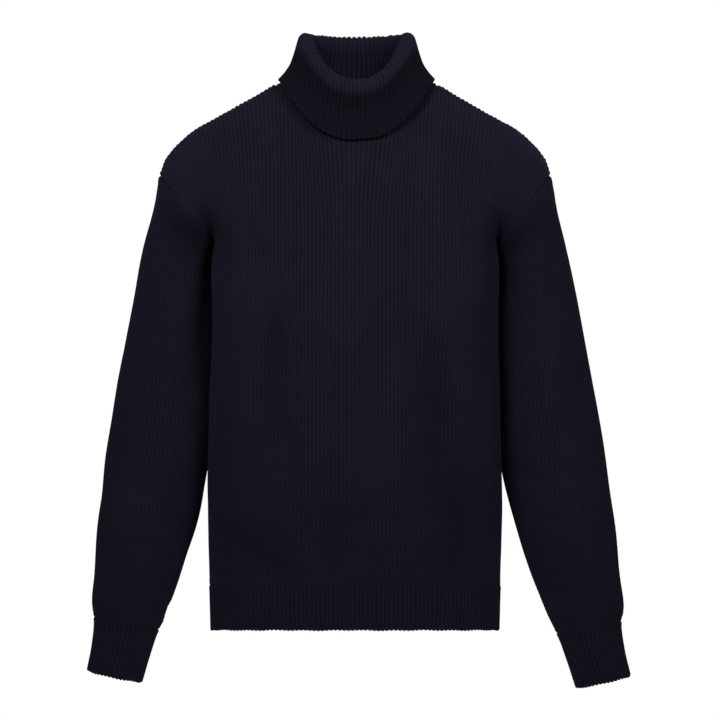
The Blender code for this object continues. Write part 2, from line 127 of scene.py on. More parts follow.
Arm = namedtuple("Arm", "along outer_x outer_z inner_x inner_z half_depth middle_y tuck")
CUFF_TOP = 0.530
ARM = (
    Arm(0.000, 0.2450, -0.1020, 0.1790, -0.1840, 0.0800, 0.000, 0.000),
    Arm(0.014, 0.2485, -0.1180, 0.1820, -0.1960, 0.0790, 0.003, 0.010),
    Arm(0.032, 0.2525, -0.1405, 0.1800, -0.2110, 0.0780, 0.012, 0.026),
    Arm(0.072, 0.2635, -0.1870, 0.1787, -0.2430, 0.0760, 0.023, 0.027),
    Arm(0.130, 0.2770, -0.2520, 0.1780, -0.2920, 0.0730, 0.031, 0.022),
    Arm(0.207, 0.2935, -0.3335, 0.1788, -0.3620, 0.0670, 0.035, 0.013),
    Arm(0.286, 0.3075, -0.4145, 0.1832, -0.4385, 0.0600, 0.034, 0.005),
    Arm(0.356, 0.3185, -0.4845, 0.1948, -0.5065, 0.0545, 0.027, 0.000),
    Arm(0.419, 0.3255, -0.5475, 0.2110, -0.5675, 0.0505, 0.014, 0.000),
    Arm(0.477, 0.3290, -0.6065, 0.2295, -0.6230, 0.0455, 0.001, 0.000),
    Arm(0.517, 0.3305, -0.6465, 0.2440, -0.6605, 0.0405, -0.009, 0.000),
    Arm(0.530, 0.3285, -0.6590, 0.2510, -0.6740, 0.0350, -0.012, 0.000),
    Arm(0.563, 0.3310, -0.6930, 0.2620, -0.7045, 0.0320, -0.019, 0.000),
    Arm(0.599, 0.3375, -0.7265, 0.2730, -0.7410, 0.0320, -0.027, 0.000),
)
CUFF_END = ARM[-1].along

Hang = namedtuple("Hang", "out up")
HANG_RIGHT = Hang(0.0035, 0.0035)
HANG_LEFT = Hang(0.0060, -0.0035)
HANG_POWER = 3.0

Loop = namedtuple("Loop", "along half_width front back z_front z_side z_back")
COLLAR = (
    Loop(0.000, 0.0750, -0.0870, 0.0670, -0.0420, 0.0272, 0.0050),
    Loop(0.020, 0.0670, -0.0760, 0.0600, -0.0260, 0.0450, 0.0290),
    Loop(0.038, 0.0605, -0.0690, 0.0535, -0.0100, 0.0600, 0.0500),
    Loop(0.050, 0.0580, -0.0660, 0.0505, 0.0015, 0.0685, 0.0635),
    Loop(0.058, 0.0595, -0.0672, 0.0515, 0.0095, 0.0740, 0.0720),
    Loop(0.066, 0.0655, -0.0755, 0.0570, 0.0137, 0.0762, 0.0752),
    Loop(0.074, 0.0705, -0.0850, 0.0625, 0.0095, 0.0725, 0.0725),
    Loop(0.082, 0.0732, -0.0892, 0.0650, 0.0005, 0.0650, 0.0645),
    Loop(0.090, 0.0755, -0.0872, 0.0668, -0.0085, 0.0570, 0.0555),
    Loop(0.102, 0.0788, -0.0848, 0.0698, -0.0215, 0.0470, 0.0410),
    Loop(0.114, 0.0830, -0.0885, 0.0735, -0.0360, 0.0365, 0.0262),
    Loop(0.126, 0.0905, -0.0948, 0.0775, -0.0495, 0.0268, 0.0118),
    Loop(0.137, 0.0985, -0.1002, 0.0810, -0.0615, 0.0193, 0.0000),
)
COLLAR_END = COLLAR[-1].along

# ---- Creases, a row each ---------------------------------------------------------------------

# On front and back, from one place to another in the front view. A depth below 0 is a ridge.
Crease = namedtuple("Crease", "side x_start z_start x_end z_end width depth")
CREASES = (
    Crease(FRONT, 0.084, -0.270, 0.122, -0.614, 0.022, 0.0085),
    Crease(FRONT, 0.128, -0.470, 0.142, -0.616, 0.024, 0.0060),
    Crease(FRONT, 0.138, -0.120, 0.112, -0.320, 0.034, -0.0060),
    Crease(FRONT, -0.098, -0.270, -0.112, -0.440, 0.018, 0.0060),
    Crease(FRONT, -0.142, -0.160, -0.136, -0.440, 0.024, -0.0050),
    Crease(FRONT, -0.013, -0.500, -0.026, -0.616, 0.010, 0.0034),
    Crease(FRONT, -0.040, -0.524, 0.106, -0.534, 0.010, 0.0030),
    Crease(FRONT, -0.172, -0.540, -0.080, -0.606, 0.024, 0.0062),
    Crease(FRONT, 0.020, -0.380, 0.036, -0.580, 0.026, -0.0040),
    Crease(FRONT, 0.192, -0.150, 0.156, -0.222, 0.011, 0.0042),
    Crease(FRONT, -0.192, -0.150, -0.158, -0.224, 0.011, 0.0044),
    Crease(BACK, 0.070, -0.290, 0.052, -0.560, 0.024, 0.0045),
    Crease(BACK, -0.086, -0.330, -0.066, -0.590, 0.020, 0.0040),
    Crease(BACK, -0.130, -0.380, -0.118, -0.600, 0.015, 0.0025),
    Crease(BACK, 0.120, -0.420, 0.136, -0.600, 0.018, 0.0028),
    Crease(BACK, -0.060, -0.500, 0.030, -0.508, 0.009, 0.0016),
    Crease(BACK, -0.012, -0.060, 0.004, -0.300, 0.030, 0.0020),
    Crease(BACK, 0.186, -0.160, 0.146, -0.225, 0.011, 0.0030),
    Crease(BACK, -0.188, -0.160, -0.146, -0.220, 0.011, 0.0032),
)

# On a sleeve, from one place to another: degrees round the arm (0 at its outer side, 90 in
# front, 180 at the body) and metres along it. sign is -1 on the wearer's right arm.
ArmCrease = namedtuple("ArmCrease", "sign turn_start along_start turn_end along_end width depth")
ARM_CREASES = (
    ArmCrease(-1, 150, 0.020, 118, 0.095, 0.010, 0.0022),
    ArmCrease(-1, 160, 0.330, 108, 0.352, 0.010, 0.0024),
    ArmCrease(-1, 165, 0.385, 95, 0.398, 0.008, 0.0020),
    ArmCrease(-1, 20, 0.440, 80, 0.452, 0.008, 0.0016),
    ArmCrease(-1, 30, 0.485, 120, 0.497, 0.009, 0.0026),
    ArmCrease(-1, 215, 0.300, 262, 0.318, 0.011, 0.0026),
    ArmCrease(-1, 205, 0.372, 285, 0.392, 0.010, 0.0024),
    ArmCrease(-1, 225, 0.468, 320, 0.480, 0.009, 0.0024),
    ArmCrease(-1, 150, 0.502, 210, 0.510, 0.008, 0.0024),
    ArmCrease(1, 152, 0.022, 115, 0.110, 0.010, 0.0024),
    ArmCrease(1, 158, 0.318, 100, 0.345, 0.010, 0.0026),
    ArmCrease(1, 162, 0.372, 84, 0.392, 0.009, 0.0026),
    ArmCrease(1, 155, 0.425, 62, 0.446, 0.008, 0.0024),
    ArmCrease(1, 10, 0.463, 70, 0.478, 0.009, 0.0018),
    ArmCrease(1, 40, 0.496, 130, 0.503, 0.008, 0.0026),
    ArmCrease(1, 212, 0.305, 268, 0.330, 0.011, 0.0026),
    ArmCrease(1, 208, 0.400, 280, 0.415, 0.010, 0.0024),
    ArmCrease(1, 230, 0.482, 318, 0.492, 0.009, 0.0022),
)
CREASE_FADE = 0.7           # below 1, a crease keeps its depth nearly to its ends
CALM_EDGE = 0.012           # creases and waves fade out this near a seam
PAINTED_CREASE_SHADING = 32.0                 # painted shade: how much darker the yarn is painted for each metre that it lies in a trough, and lighter on a ridge
DEGREE_AT_ARM = 0.00105     # length of one degree round a sleeve

# Slow waves that leave no cloth quite even: their size, and how they run over x and z.
Wave = namedtuple("Wave", "size over_x over_z start")
WAVES = (
    Wave(0.0009, 31.0, 12.0, 0.4),
    Wave(0.0007, -23.0, 29.0, 2.1),
    Wave(0.0006, 52.0, -17.0, 4.4),
    Wave(0.0005, 38.0, 47.0, 1.2),
)

# ---- The knit --------------------------------------------------------------------------------

# The section of one rib: how far across it, and how high, as shares. It starts in the valley.
Rise = namedtuple("Rise", "across height")
RIB = (
    Rise(0.00, 0.00),
    Rise(0.08, 0.40),
    Rise(0.20, 0.76),
    Rise(0.34, 0.95),
    Rise(0.50, 1.00),
    Rise(0.66, 0.95),
    Rise(0.80, 0.76),
    Rise(0.92, 0.40),
)
RIB_BASE = 0.65             # this share of a rib's height lies below the CAD's surface
INNER_RELIEF = 0.5          # how high the ribs are on the inside, as a share of those outside
INNER_STEP = 4              # the inside of the cloth has one column for this many outside

Knit = namedtuple("Knit", "ribs height")
PANEL_KNIT = Knit(104, 0.0013)
HEM_KNIT = Knit(90, 0.0017)
SLEEVE_KNIT = Knit(78, 0.0008)
CUFF_KNIT = Knit(42, 0.0017)
COLLAR_KNIT = Knit(76, 0.0025)
CORNER_PRESS = 0.0012       # the collar's free edge lies this much closer at the shoulders,
CORNER_PRESS_START = 0.115  # from this far along the collar
CORNER_PRESS_POWER = 8
COLLAR_CROWD = 0.20         # how much closer the collar's ribs are at the front than on average
UNEVEN_RIB = 0.20           # how much the ribs' heights differ,
UNEVEN_ALONG = 0.14         # and how much each differs along itself
UNEVEN_SCALE = 4.0
YOKE_RIBS = 1.10            # the ribs are this much bolder on the yoke
YOKE_RIBS_Z = -0.120
LOW_RIBS = 0.62             # than low on the body, where they are stretched
LOW_RIBS_Z = -0.300
SHOULDER_CALM = 0.45        # the ribs are this much lower out on the shoulders,
SHOULDER_CALM_X = (0.120, 0.210)    # between these distances from the middle
BESIDE_COLLAR = 0.0020      # the shoulder stands up this much beside the collar's free edge,
BESIDE_START = 0.0020       # from this far outside its middle,
BESIDE_STEP = 0.0035
BESIDE_REACH = 0.024
STITCH = 0.0031             # height of one stitch

ROW_STEP = 0.0095
NEAR_EDGE = (0.0008, 0.0018, 0.0032, 0.0052)    # more rows, this far from a seam or an edge
COLLAR_STEP = 0.0034
BAND_STEP = 0.0045
RING_SAMPLES = 721
YOKE_LENGTH = 0.20          # about, from the armpits' ring to the shoulder

# How the outside of the cloth stands beside a seam: rolled in at it, pushed up beside it.
Seam = namedtuple("Seam", "roll roll_width ridge ridge_at ridge_width")
SEWN = Seam(0.0021, 0.0013, 0.0004, 0.0050, 0.0024)         # side, shoulder and armhole seams
LINKED = Seam(0.0002, 0.0012, 0.0003, 0.0040, 0.0020)       # where a panel runs on into its hem band
GATHERED = Seam(0.0001, 0.0012, 0.0005, 0.0025, 0.0020)     # where a sleeve is drawn into its cuff
LINK_CALM = 0.0030          # ribs run out this near such an edge
EDGE_ROUND = 0.0020         # a free edge is rounded over this far
EDGE_THIN = 0.40            # share of the wall's thickness left at the very edge
SCALLOP = 0.0014            # how far the ribs' crests stand out past their valleys at a free edge
SCALLOP_FADE = 0.0035

# How a free edge wanders, in shares of a scallop.
Drift = namedtuple("Drift", "size over_ribs start")
DRIFTS = (
    Drift(0.25, 0.90, 0.0),
    Drift(0.15, 0.37, 1.0),
)


def read(rows, column, at):
    """A column of a table, read anywhere on a smooth curve through the table's rows."""
    keys = np.array([row[0] for row in rows])
    values = np.array([getattr(row, column) for row in rows])
    slopes = np.gradient(values, keys)
    at = np.clip(at, keys[0], keys[-1])
    cell = np.clip(np.searchsorted(keys, at, side="right") - 1, 0, len(keys) - 2)
    width = keys[cell + 1] - keys[cell]
    t = (at - keys[cell]) / width
    start = values[cell] * (2 * t ** 3 - 3 * t ** 2 + 1)
    end = values[cell + 1] * (3 * t ** 2 - 2 * t ** 3)
    leave = slopes[cell] * width * (t ** 3 - 2 * t ** 2 + t)
    arrive = slopes[cell + 1] * width * (t ** 3 - t ** 2)
    return start + end + leave + arrive


def unit(vectors):
    """The same vectors, each one long."""
    return vectors / np.linalg.norm(vectors, axis=-1, keepdims=True)


def stack(x, y, z):
    """Points from three coordinates, any of which may be one number for all."""
    return np.stack(np.broadcast_arrays(x, y, z), axis=-1).astype(float)


def powered(values, power):
    """Raise to a power and keep the sign."""
    return np.sign(values) * np.abs(values) ** power


def ease(share):
    """A smooth step from 0 to 1."""
    share = np.clip(share, 0, 1)
    return share ** 2 * (3 - 2 * share)


def bell(distance, width):
    """A smooth hump, 1 high."""
    return np.exp(-(distance / width) ** 2)


# ---- The forms, as in the CAD ----------------------------------------------------------------

def half_ring(side, z, across):
    """Points and outward normals of half a torso ring, evenly spaced along the cloth."""
    half_width = read(TORSO, "half_width", z)
    depth = read(TORSO, "front" if side == FRONT else "back", z)
    lift = read(TORSO, "lift", z) if side == FRONT else 0.0
    power = 2 / read(TORSO, "square_front" if side == FRONT else "square_back", z)
    angle = np.linspace(-math.pi / 2, math.pi / 2, RING_SAMPLES)
    share = np.cos(angle) ** power
    x = -side * half_width * powered(np.sin(angle), power)
    y = side * depth * share
    length = np.concatenate([[0.0], np.cumsum(np.hypot(np.diff(x), np.diff(y)))])
    want = (across + 1) / 2 * length[-1]
    points = stack(np.interp(want, length, x), np.interp(want, length, y),
                   z + lift * np.interp(want, length, share))
    slope_x = np.interp(want, length, np.gradient(x, length))
    slope_y = np.interp(want, length, np.gradient(y, length))
    return points, unit(stack(slope_y, -slope_x, 0.0))


def neck_angle(share):
    """The angle round the neck, from the middle of front or back, for a share of its ribs."""
    return np.arcsin(NECK_SPREAD * np.clip(share, -1, 1)) / math.asin(NECK_SPREAD) * math.pi / 2


def loop_points(angle, along):
    """Points of a collar loop. The angle is 0 at the front and 90 degrees at the wearer's left."""
    front = np.cos(angle) >= 0
    free = ease(along / SEAM_DIP_END)
    rise = free * np.abs(np.sin(angle)) ** COLLAR_DIP + (1 - free) * (1 - np.abs(np.cos(angle)))
    middle = (read(COLLAR, "front", along) + read(COLLAR, "back", along)) / 2
    side_y = middle + (read(COLLAR, "back", along) - middle) * COLLAR_SIDE
    end_y = np.where(front, read(COLLAR, "front", along), read(COLLAR, "back", along))
    end_z = np.where(front, read(COLLAR, "z_front", along), read(COLLAR, "z_back", along))
    x = COLLAR_X + read(COLLAR, "half_width", along) * np.sin(angle)
    y = side_y + (end_y - side_y) * np.abs(np.cos(angle))
    z = end_z + (read(COLLAR, "z_side", along) - end_z) * rise
    return stack(x, y, z)


def neck_normals(angle):
    """Outward normals of front and back along the neckline: flattest at the shoulders."""
    middle, side = NECK_SLOPE
    return unit(stack(np.sin(angle), -np.cos(angle), middle + (side - middle) * np.sin(angle) ** 2))


def shoulder_line(share, sign):
    """Points and normals along a shoulder seam, from the neck (0) to the armhole (1)."""
    x = np.linspace(SHOULDER[0].x, SHOULDER[-1].x, RING_SAMPLES)
    heights = read(SHOULDER, "z", x)
    length = np.concatenate([[0.0], np.cumsum(np.hypot(np.diff(x), np.diff(heights)))])
    want = share * length[-1]
    fade = 1 - share
    points = stack(sign * np.interp(want, length, x) + COLLAR_X * fade,
                   SHOULDER_SEAM_Y * 4 * share * fade + neck_point_y() * fade ** 2,
                   np.interp(want, length, heights))
    slope_x = np.interp(want, length, np.gradient(x, length))
    slope_z = np.interp(want, length, np.gradient(heights, length))
    return points, unit(stack(-sign * slope_z, 0.0, slope_x))


def neck_point_y():
    """How far back the shoulder seam starts, at the side of the neck."""
    return float(loop_points(np.array([math.pi / 2]), 0.0)[0, 1])


def top_edge(side, across):
    """Points and normals of a panel's top edge: shoulder, neckline, shoulder."""
    turn = neck_angle(across / NECK_SHARE)
    angle = turn if side == FRONT else math.pi + turn
    points, normals = loop_points(angle, 0.0), neck_normals(angle)
    for sign in (-1, 1):
        beyond = np.where(-side * sign * across > NECK_SHARE)[0]
        share = (np.abs(across[beyond]) - NECK_SHARE) / (1 - NECK_SHARE)
        points[beyond], normals[beyond] = shoulder_line(share, sign)
    return points, normals


def arm_ring(angle, along, sign=1):
    """Points and outward normals round an arm. The angle is 0 at its outer side, 90 in front."""
    outer = stack(read(ARM, "outer_x", along), 0.0, read(ARM, "outer_z", along))
    inner = stack(read(ARM, "inner_x", along), 0.0, read(ARM, "inner_z", along))
    half = (outer - inner) / 2
    depth = read(ARM, "half_depth", along)
    forward = np.array([0.0, -1.0, 0.0])
    centre = (outer + inner) / 2 + stack(0.0, read(ARM, "middle_y", along), 0.0)
    cosine, sine = np.cos(angle)[..., None], np.sin(angle)[..., None]
    tucked = ((1 - cosine) / 2) ** 2 * stack(0.0, read(ARM, "tuck", along), 0.0)
    points = centre + half * cosine + forward * depth * sine + tucked
    width = np.linalg.norm(half)
    normals = unit(half / width * cosine / width + forward * sine / depth)
    hang = HANG_LEFT if sign > 0 else HANG_RIGHT
    swing = (along / CUFF_END) ** HANG_POWER
    points[..., 0] = sign * points[..., 0] + hang.out * swing
    points[..., 2] += hang.up * swing
    normals[..., 0] *= sign
    return points, normals


def armhole(angle, sign):
    """Points and outward normals of the armhole seam, shared by the sleeve and both panels."""
    points, normals = arm_ring(angle, 0.0, sign)
    seam = ARM[0]
    down_the_sleeve = unit(stack(sign * (seam.outer_z - seam.inner_z), 0.0, seam.inner_x - seam.outer_x))
    under = (1 - np.cos(angle)) / 2
    lean = SEAM_LEAN[0] + (SEAM_LEAN[1] - SEAM_LEAN[0]) * under ** SEAM_LEAN_POWER
    return points, unit(normals + down_the_sleeve * lean[..., None])


def past_top(side, at):
    """The top edge, carried on past its two ends."""
    turned = np.where(np.abs(at) > 1, np.sign(at) * 2 - at, at)
    points = top_edge(side, turned)[0]
    for end in (-1.0, 1.0):
        past = end * at > 1
        points[past] = 2 * top_edge(side, np.array([end]))[0] - points[past]
    return points


def softened_top(side, across):
    """The top edge without the corners beside the neck, which low rows don't follow."""
    offsets = np.linspace(-2, 2, CORNER_STEPS) * CORNER_SOFT
    weights = bell(offsets, CORNER_SOFT)
    soft = sum(weight * past_top(side, across + offset) for offset, weight in zip(offsets, weights))
    return soft / weights.sum()


def yoke(side, across, up, exact, soft):
    """A row of a panel above the armpit, as far up as up says, from 0 to 1."""
    base, _ = half_ring(side, ARMPIT_Z, across)
    seen = ease((up - CORNER_START) / (1 - CORNER_START))
    top = soft * (1 - seen) + exact * seen
    armpit = np.abs(across) ** ARMPIT_REACH
    reach = np.linalg.norm(top - base, axis=-1)
    leave = stack(0.0, side * ARMPIT_OUT * armpit, reach * (RISE + (ARMPIT_RISE - RISE) * armpit))
    ending = "_front" if side == FRONT else "_back"
    inward, rising = (read(PULLS, column + ending, np.abs(across)) for column in ("inward", "up"))
    arrive = stack(0.0, -side * inward, rising)
    return (base * (2 * up ** 3 - 3 * up ** 2 + 1) + top * (3 * up ** 2 - 2 * up ** 3)
            + leave * (up ** 3 - 2 * up ** 2 + up) + arrive * (up ** 3 - up ** 2))


def panel_row(side, across, up, exact, soft):
    """A row of the yoke, with its two ends drawn onto the armhole seams."""
    row = yoke(side, across, up, exact, soft)
    drawn = row.copy()
    for end, column in ((-1, 0), (1, -1)):
        sign = -side * end
        angle = math.pi * (1 - up)
        seam, _ = armhole(np.array([angle if side == FRONT else -angle]), sign)
        near = np.clip((end * across - ARMHOLE_NEAR) / (1 - ARMHOLE_NEAR), 0, 1)
        drawn += (seam[0] - row[column]) * near[:, None] ** ARMHOLE_NEAR_POWER
    return drawn


# ---- Grids -----------------------------------------------------------------------------------

def grid_normals(points, closed=False):
    """Normals of a grid, on the side from which its columns run right and its rows run up."""
    if closed:
        run = np.roll(points, -1, axis=1) - np.roll(points, 1, axis=1)
    else:
        run = np.gradient(points, axis=1)
    return unit(np.cross(run, np.gradient(points, axis=0)))


def rib_places(ribs, closed):
    """Where the columns are, counted in ribs, and the rib's height there, from 0 to 1."""
    places = np.array([[rib + point.across for point in RIB] for rib in range(ribs)]).ravel()
    heights = np.tile([point.height for point in RIB], ribs)
    if closed:
        return places, heights
    return np.append(places, ribs), np.append(heights, 0.0)


def spaced(start, end, step, near_start=True, near_end=True):
    """Places from start to end about step apart, with more of them near the ends."""
    places = list(np.linspace(start, end, round(abs(end - start) / step) + 1))
    way = math.copysign(1.0, end - start)
    if near_start:
        places += [start + way * near for near in NEAR_EDGE]
    if near_end:
        places += [end - way * near for near in NEAR_EDGE]
    return np.unique(places)


def row_lengths(points):
    """How far each point is along its column, from the first row."""
    steps = np.linalg.norm(np.diff(points, axis=0), axis=-1)
    return np.concatenate([np.zeros((1, points.shape[1])), np.cumsum(steps, axis=0)])


def column_lengths(points):
    """How far each point is along its row, from the first column."""
    steps = np.linalg.norm(np.diff(points, axis=1), axis=-1)
    return np.concatenate([np.zeros((points.shape[0], 1)), np.cumsum(steps, axis=1)], axis=1)


def along_line(u, v, start, end, width):
    """How strongly a crease from start to end shows at (u, v), from 0 to 1."""
    start, end = np.array(start), np.array(end)
    line = end - start
    share = ((u - start[0]) * line[0] + (v - start[1]) * line[1]) / (line @ line)
    middle_u, middle_v = start[0] + line[0] * share, start[1] + line[1] * share
    fade = np.sin(np.pi * np.clip(share, 0, 1)) ** CREASE_FADE
    return fade * bell(np.hypot(u - middle_u, v - middle_v), width)


def waves(points):
    """The slow unevenness of the cloth at each point."""
    x, y, z = points[..., 0] + points[..., 1], points[..., 1], points[..., 2]
    return sum(wave.size * np.sin(wave.over_x * (x + y) + wave.over_z * z + wave.start) for wave in WAVES)


def seam_relief(distance, seam):
    """How far the outside of the cloth stands out beside a seam."""
    rolled = -seam.roll * bell(distance, seam.roll_width)
    return rolled + seam.ridge * bell(distance - seam.ridge_at, seam.ridge_width)


# ---- Shells ----------------------------------------------------------------------------------

def shell(name, knit, middle, normals, swell, free_edges, closed=False, bold=1.0, press=0.0):
    """A closed shell of ribbed cloth, half a wall to each side of a grid of points.

    swell moves the cloth out along its normals, bold is how much taller its ribs are at each
    point, and press is how deep the point lies in a trough, where the yarn gets painted shade
    (painted light on a ridge). free_edges holds "bottom" or "top", for the edges that aren't
    sewn to anything: they are rounded and scalloped.
    """
    places, heights = rib_places(knit.ribs, closed)
    middle = middle + normals * swell[..., None]
    length = row_lengths(middle)
    plump = np.ones(middle.shape[:2])
    if "bottom" in free_edges:
        middle, plump = round_edge(middle, plump, length, heights, places, 0, 1)
    if "top" in free_edges:
        middle, plump = round_edge(middle, plump, length[-1] - length, heights, places, -1, -2)
    rng = np.random.default_rng(len(name) + knit.ribs)
    uneven = 1 + UNEVEN_RIB * rng.standard_normal(knit.ribs + 1)
    tall = np.interp(places, np.arange(knit.ribs + 1) + 0.5, uneven)
    relief = knit.height * (heights * tall - RIB_BASE) * bold
    outer = middle + normals * (plump * (WALL / 2 + relief))[..., None]
    kept = slice(None, None, INNER_STEP)
    inside = knit.height * (RIB_BASE - heights) * INNER_RELIEF
    inner = (middle - normals * (plump * (WALL / 2 + inside))[..., None])[:, kept]
    piece = cloth_mesh(name, outer, inner, INNER_STEP, places, length / STITCH, knit.ribs, closed)
    # Painted shade and light: the yarn is painted darker where the cloth lies in a trough, lighter on a
    # ridge.
    tone = np.zeros(len(piece.data.vertices), np.float32)
    tone[:outer[..., 0].size] = np.ravel(press * np.ones(outer.shape[:2])) * -PAINTED_CREASE_SHADING
    piece.data.attributes.new("PaintedCreaseShading", "FLOAT", "POINT").data.foreach_set("value", tone)
    return piece


def round_edge(middle, plump, distance, heights, places, edge, beside):
    """Round a free edge of the cloth and let its ribs' crests stand out."""
    outward = unit(middle[edge] - middle[beside])
    fade = np.exp(-distance / SCALLOP_FADE)
    drift = sum(one.size * np.sin(places * one.over_ribs + one.start) for one in DRIFTS)
    step = SCALLOP * (heights - RIB_BASE + drift) * fade
    share = np.clip(distance / EDGE_ROUND, 0, 1)
    thin = EDGE_THIN + (1 - EDGE_THIN) * np.sqrt(share * (2 - share))
    return middle + outward * step[..., None], plump * thin


def cloth_mesh(name, outer, inner, step, places, courses, ribs, closed):
    """Join an outer grid and an inner one, which has a column for every so many, into one shell."""
    rows, columns = outer.shape[:2]
    inner_columns = inner.shape[1]
    first_inner = rows * columns
    u = np.append(places, ribs) if closed else places
    faces, corners = [], []

    def out(row, column):
        corners.append((u[column], courses[row, column % columns]))
        return row * columns + column % columns

    def into(row, column):
        corners.append((u[column * step], courses[row, column % inner_columns * step]))
        return first_inner + row * inner_columns + column % inner_columns

    spans = columns if closed else columns - 1
    inner_spans = inner_columns if closed else inner_columns - 1
    for row in range(rows - 1):
        for column in range(spans):
            faces.append((out(row, column), out(row, column + 1),
                          out(row + 1, column + 1), out(row + 1, column)))
        for column in range(inner_spans):
            faces.append((into(row, column + 1), into(row, column),
                          into(row + 1, column), into(row + 1, column + 1)))
    last = rows - 1
    for column in range(inner_spans):
        under = range(column * step, (column + 1) * step + 1)
        faces.append((*[out(0, i) for i in reversed(under)], into(0, column), into(0, column + 1)))
        faces.append((*[out(last, i) for i in under], into(last, column + 1), into(last, column)))
    if not closed:
        end, inner_end = columns - 1, inner_columns - 1
        for row in range(rows - 1):
            faces.append((out(row, 0), out(row + 1, 0), into(row + 1, 0), into(row, 0)))
            faces.append((out(row + 1, end), out(row, end), into(row, inner_end), into(row + 1, inner_end)))
    mesh = bpy.data.meshes.new(name)
    vertices = np.vstack([outer.reshape(-1, 3), inner.reshape(-1, 3)])
    mesh.from_pydata(vertices.tolist(), [], faces)
    uv = mesh.uv_layers.new(name="Ribs")
    uv.data.foreach_set("uv", np.array(corners, np.float32).ravel())
    mesh.shade_smooth()
    piece = bpy.data.objects.new(name, mesh)
    bpy.context.scene.collection.objects.link(piece)
    return piece


# ---- Pieces ----------------------------------------------------------------------------------

def panel(side, name):
    """The front or the back."""
    places, _ = rib_places(PANEL_KNIT.ribs, False)
    across = places / PANEL_KNIT.ribs * 2 - 1
    steps = spaced(WELT_Z, ARMPIT_Z, ROW_STEP, near_end=False)
    ups = spaced(0.0, YOKE_LENGTH, ROW_STEP, near_start=False)[1:-1] / YOKE_LENGTH
    top, top_normals = top_edge(side, across)
    rows = [half_ring(side, z, across)[0] for z in steps]
    soft = softened_top(side, across)
    rows += [panel_row(side, across, up, top, soft) for up in ups]
    middle = np.array(rows + [top])
    normals = grid_normals(middle)
    press = -waves(middle)
    for crease in CREASES:
        if crease.side == side:
            press += crease.depth * along_line(middle[..., 0], middle[..., 2],
                                               (crease.x_start, crease.z_start),
                                               (crease.x_end, crease.z_end), crease.width)
    up, over = row_lengths(middle), column_lengths(middle)
    sewn = np.minimum.reduce([up[-1] - up, over, over[:, -1:] - over])
    press *= ease(np.minimum(sewn, up) / CALM_EDGE)
    middle -= normals * press[..., None]
    normals = grid_normals(middle)
    normals[0] = half_ring(side, WELT_Z, across)[1]
    normals[-1] = top_normals
    armpit = len(steps) - 1
    ways = np.concatenate([[0.0], ups, [1.0]])
    for column, end in ((0, -1), (-1, 1)):
        sign = -side * end
        normals[:armpit, column] = (sign, 0.0, 0.0)
        angle = math.pi * (1 - ways)
        seam = armhole(angle if side == FRONT else -angle, sign)[1][:, None]
        lean = ease((end * across - ARMHOLE_LEAN) / (1 - ARMHOLE_LEAN))[:, None]
        normals[armpit:] = unit(normals[armpit:] * (1 - lean) + seam * lean)
    middle = draw_back(middle, normals, ("bottom", "top", "sides"))
    swell = seam_relief(sewn, SEWN) + seam_relief(up, LINKED)
    swell += beside_collar(middle, up[-1] - up)
    bold = boldness(middle) * ease(up / LINK_CALM)
    return shell(name, PANEL_KNIT, middle, normals, swell, (), bold=bold, press=press)


def boldness(points):
    """How tall a panel's ribs are at each point, as a share of the knit's height."""
    high = ease((points[..., 2] - LOW_RIBS_Z) / (YOKE_RIBS_Z - LOW_RIBS_Z))
    bold = LOW_RIBS + (YOKE_RIBS - LOW_RIBS) * high
    bold = bold * (1 + UNEVEN_ALONG * waves(points * UNEVEN_SCALE) / WAVES[0].size)
    start, end = SHOULDER_CALM_X
    return bold * (1 - SHOULDER_CALM * ease((np.abs(points[..., 0]) - start) / (end - start)))


def beside_collar(points, from_top):
    """How far the shoulders stand up beside the collar's free edge."""
    beyond = np.abs(points[..., 0] - COLLAR_X) - COLLAR[-1].half_width
    beside = ease((beyond - BESIDE_START) / BESIDE_STEP) * bell(np.maximum(beyond, 0), BESIDE_REACH)
    return BESIDE_COLLAR * beside * bell(from_top, BESIDE_REACH)


def hem(side, name):
    """One half of the hem band."""
    places, _ = rib_places(HEM_KNIT.ribs, False)
    across = places / HEM_KNIT.ribs * 2 - 1
    steps = spaced(HEM_Z, WELT_Z, BAND_STEP)
    rings = [half_ring(side, z, across) for z in steps]
    middle = np.array([ring[0] for ring in rings])
    normals = np.array([ring[1] for ring in rings])
    middle = draw_back(middle, normals, ("top", "sides"))
    up, over = row_lengths(middle), column_lengths(middle)
    swell = seam_relief(np.minimum(over, over[:, -1:] - over), SEWN) + seam_relief(up[-1] - up, LINKED)
    bold = ease((up[-1] - up) / LINK_CALM)
    return shell(name, HEM_KNIT, middle, normals, swell, ("bottom",), bold=bold)


def arm_grid(places, ribs, steps, sign):
    """Points and normals of a tube along an arm, the angle of each column, and its smooth rings."""
    angle = places / ribs * 2 * math.pi
    rings = [arm_ring(angle, along, sign) for along in steps]
    middle = np.array([ring[0] for ring in rings])
    normals = grid_normals(middle, closed=True) * sign
    return middle, normals, angle, rings


def facing_out(grid, sign):
    """Turn the columns round where they would run left, and keep a column at the rib's start."""
    return grid if sign > 0 else np.roll(grid[:, ::-1], 1, axis=1)


